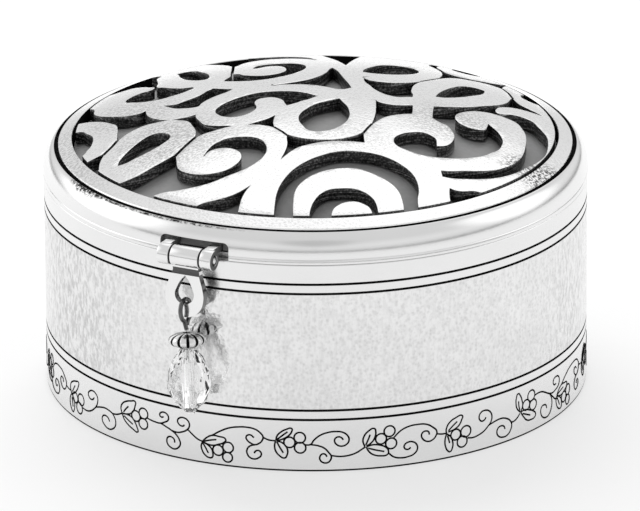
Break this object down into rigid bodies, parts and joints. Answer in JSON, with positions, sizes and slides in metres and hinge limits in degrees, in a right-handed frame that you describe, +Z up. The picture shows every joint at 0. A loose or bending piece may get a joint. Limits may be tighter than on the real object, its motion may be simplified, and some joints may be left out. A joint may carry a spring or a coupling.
{
  "type": "trinket box",
  "caption": "Round metal trinket box with a hinged domed lid of pierced scrollwork, a teardrop pull and a hanging crystal charm.",
  "frame": {"origin": "centre of the base pad's underside", "axes": "+Z up, -Y towards the pull at the front, +Y towards the rear hinge"},
  "size_m": [0.1, 0.1124, 0.0538],
  "materials": {
    "hammered_silver": "hammered, silver plated",
    "polished_silver": "polished, silver plated",
    "inner_metal": "satin",
    "grey_backing": "matt grey",
    "black_velvet": "short black pile",
    "wire": "dark drawn wire",
    "antique_silver": "cast, dark grooves",
    "crystal": "clear, faceted"
  },
  "bodies": {
    "box_body": {"body_shell": "hammered_silver", "base_pad": "black_velvet", "inner_collar": "inner_metal", "floor_lining": "black_velvet", "wall_lining": "black_velvet", "rear_knuckle_left": "polished_silver", "rear_knuckle_right": "polished_silver", "rear_hinge_pin": "wire"},
    "lid": {"lid_rim": "polished_silver", "scroll_panel": "hammered_silver", "lid_backing": "grey_backing", "lid_lining": "black_velvet", "rear_lid_knuckle": "polished_silver", "pull_knuckle_left": "polished_silver", "pull_knuckle_right": "polished_silver", "pull_pin": "wire"},
    "pull": {"pull_loop": "polished_silver"},
    "charm": {"charm_wire": "wire"},
    "bead": {"melon_bead": "antique_silver"},
    "crystal": {"crystal_drop": "crystal"}
  },
  "joints": [
    {"name": "lid_hinge", "type": "hinge", "parent": "box_body", "child": "lid", "pos_m": [0, 0.052, 0.0395], "axis": [-1, 0, 0], "range_deg": [0, 100]},
    {"name": "pull_hinge", "type": "hinge", "parent": "lid", "child": "pull", "pos_m": [0, -0.0522, 0.0403], "axis": [-1, 0, 0], "range_deg": [0, 120]},
    {"name": "charm_swing", "type": "hinge", "parent": "pull", "child": "charm", "pos_m": [0, -0.05322, 0.03055], "axis": [-1, 0, 0], "range_deg": [0, 60]},
    {"name": "bead_spin", "type": "hinge", "parent": "charm", "child": "bead", "pos_m": [0, -0.05322, 0.03055], "axis": [-0.1037, 0.1219, 0.9871], "continuous": true},
    {"name": "crystal_spin", "type": "hinge", "parent": "charm", "child": "crystal", "pos_m": [0, -0.05322, 0.03055], "axis": [-0.1037, 0.1219, 0.9871], "continuous": true}
  ]
}
